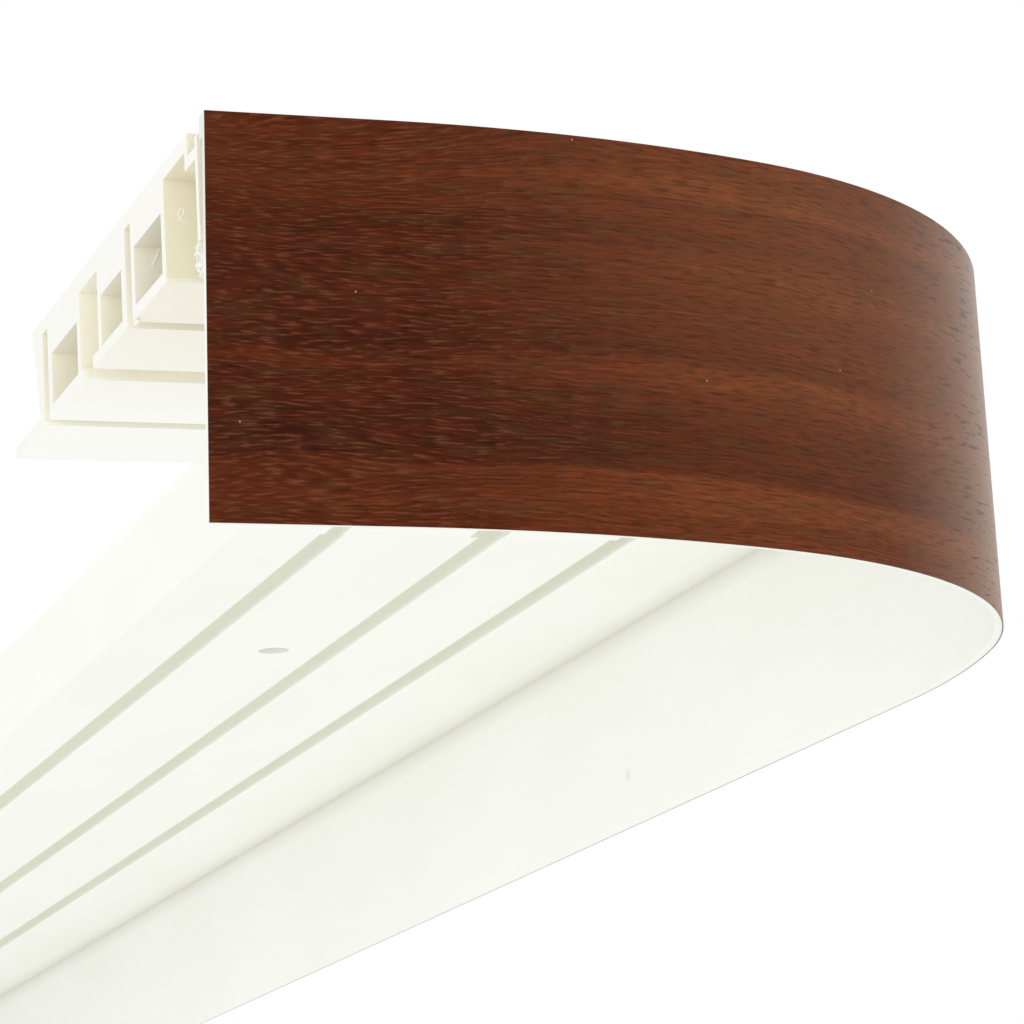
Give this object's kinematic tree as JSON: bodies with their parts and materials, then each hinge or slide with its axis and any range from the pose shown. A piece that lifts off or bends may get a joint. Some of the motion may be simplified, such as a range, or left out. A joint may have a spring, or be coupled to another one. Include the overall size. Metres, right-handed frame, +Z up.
{
  "type": "curtain track cover",
  "caption": "Wood-faced plastic cover strip bent round the corner of a slotted ceiling curtain track, from the long front down a short return to the wall.",
  "frame": {"origin": "the middle ceiling screw hole of the straight track, at the ceiling face", "axes": "+Z up to the ceiling, +Y along the long leg away from the return, +X from the wall into the room"},
  "size_m": [0.1354, 1, 0.05],
  "materials": {
    "white_strip": "satin white PVC",
    "wood_film": "satin film printed with a red-brown wood grain",
    "white_track": "satin white PVC, extruded",
    "white_corner": "satin white plastic, moulded",
    "joiner": "matt white plastic",
    "glue": "glossy, milky hot-melt glue"
  },
  "bodies": {
    "root": {"cover_strip": "white_strip", "wood_film": "wood_film", "straight_track": "white_track", "corner_unit": "white_corner", "joiner_front": "joiner", "joiner_middle": "joiner", "joiner_rear": "joiner", "glue_bead": "glue"}
  },
  "joints": []
}
